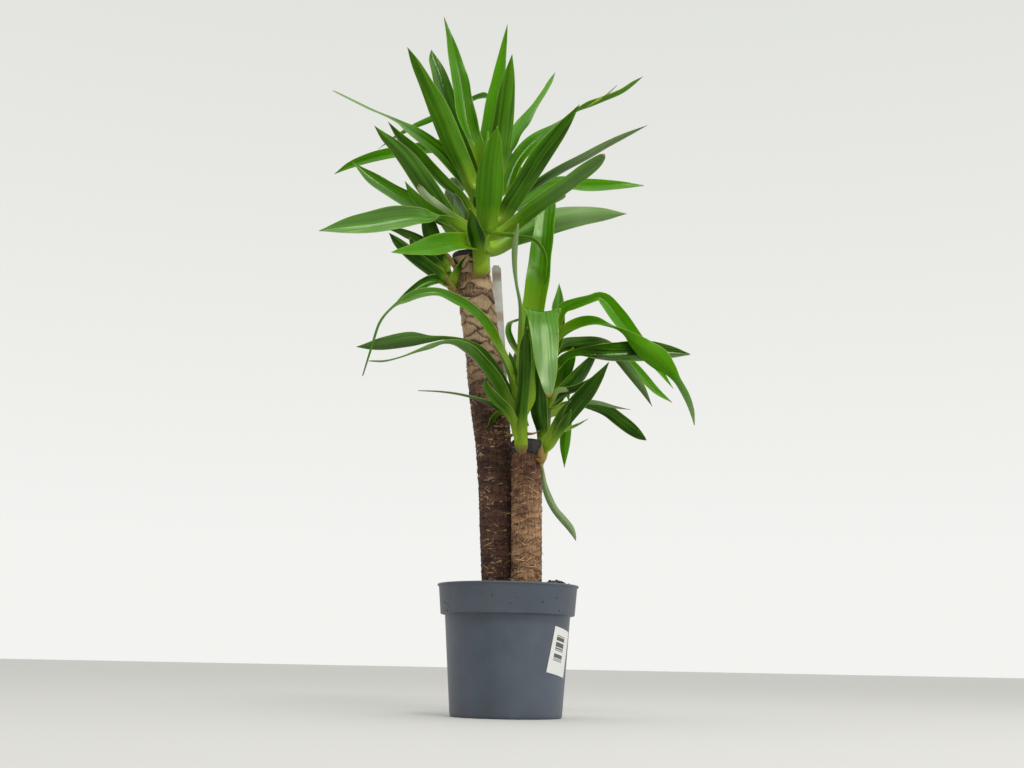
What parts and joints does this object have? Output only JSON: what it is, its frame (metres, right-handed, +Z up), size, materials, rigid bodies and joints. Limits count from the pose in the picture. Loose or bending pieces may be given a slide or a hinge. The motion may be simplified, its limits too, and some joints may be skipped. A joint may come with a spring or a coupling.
{
  "type": "potted yucca",
  "caption": "Potted yucca: a tall and a short cut cane, each with a head of arching sword leaves, in a plain round nursery pot of soil.",
  "frame": {"origin": "centre of the pot's base, on the surface that it stands on", "axes": "+Z up, +X to the right and -Y towards the viewer of the picture"},
  "size_m": [0.4895, 0.4079, 0.9301],
  "materials": {
    "pot_plastic": "moulded polypropylene, satin",
    "soil": "damp peat potting soil",
    "bark": "rough cork-like bark",
    "wax": "dull dark wax",
    "leaf": "living leaf, satin with a waxy cuticle",
    "label_plastic": "translucent film",
    "sticker_paper": "coated paper label"
  },
  "bodies": {
    "root": {"pot": "pot_plastic", "soil": "soil", "cane_tall": "bark", "cane_short": "bark", "wax_tall": "wax", "wax_short": "wax", "shoot_upper_front": "leaf", "shoot_upper_back": "leaf", "shoot_upper_left": "leaf", "shoot_lower_front": "leaf", "shoot_lower_right": "leaf", "label_strip": "label_plastic", "sticker": "sticker_paper"}
  },
  "joints": []
}
